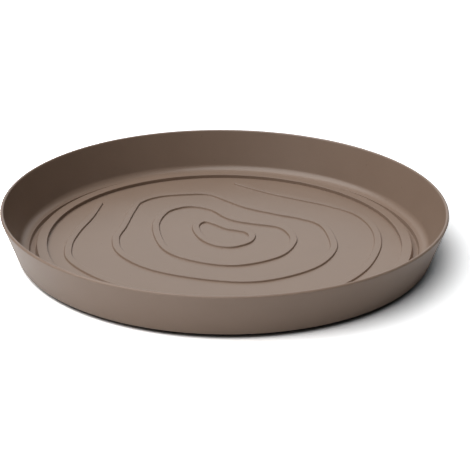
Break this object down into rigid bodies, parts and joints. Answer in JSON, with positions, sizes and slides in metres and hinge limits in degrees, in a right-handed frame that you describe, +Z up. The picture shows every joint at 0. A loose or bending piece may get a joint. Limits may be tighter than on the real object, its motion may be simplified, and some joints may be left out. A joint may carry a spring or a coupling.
{
  "type": "plant saucer",
  "caption": "Round plant saucer with a flared wall, rounded rim, ring foot, raised pot ring and flat contour ribs, which catches the water that drains from a pot.",
  "frame": {"origin": "middle of the ring foot's underside, on the surface that the saucer stands on", "axes": "+Z up along the middle of the saucer, +X to the right and -Y towards the viewer in the picture"},
  "size_m": [0.3999, 0.4, 0.0432],
  "materials": {
    "taupe_plastic": "fine satin texture"
  },
  "bodies": {
    "root": {"rim": "taupe_plastic", "side_wall": "taupe_plastic", "base_corner": "taupe_plastic", "foot_ring": "taupe_plastic", "pot_ring": "taupe_plastic", "floor_plate": "taupe_plastic", "inner_rib": "taupe_plastic", "second_rib": "taupe_plastic", "third_rib": "taupe_plastic", "outer_rib": "taupe_plastic"}
  },
  "joints": []
}
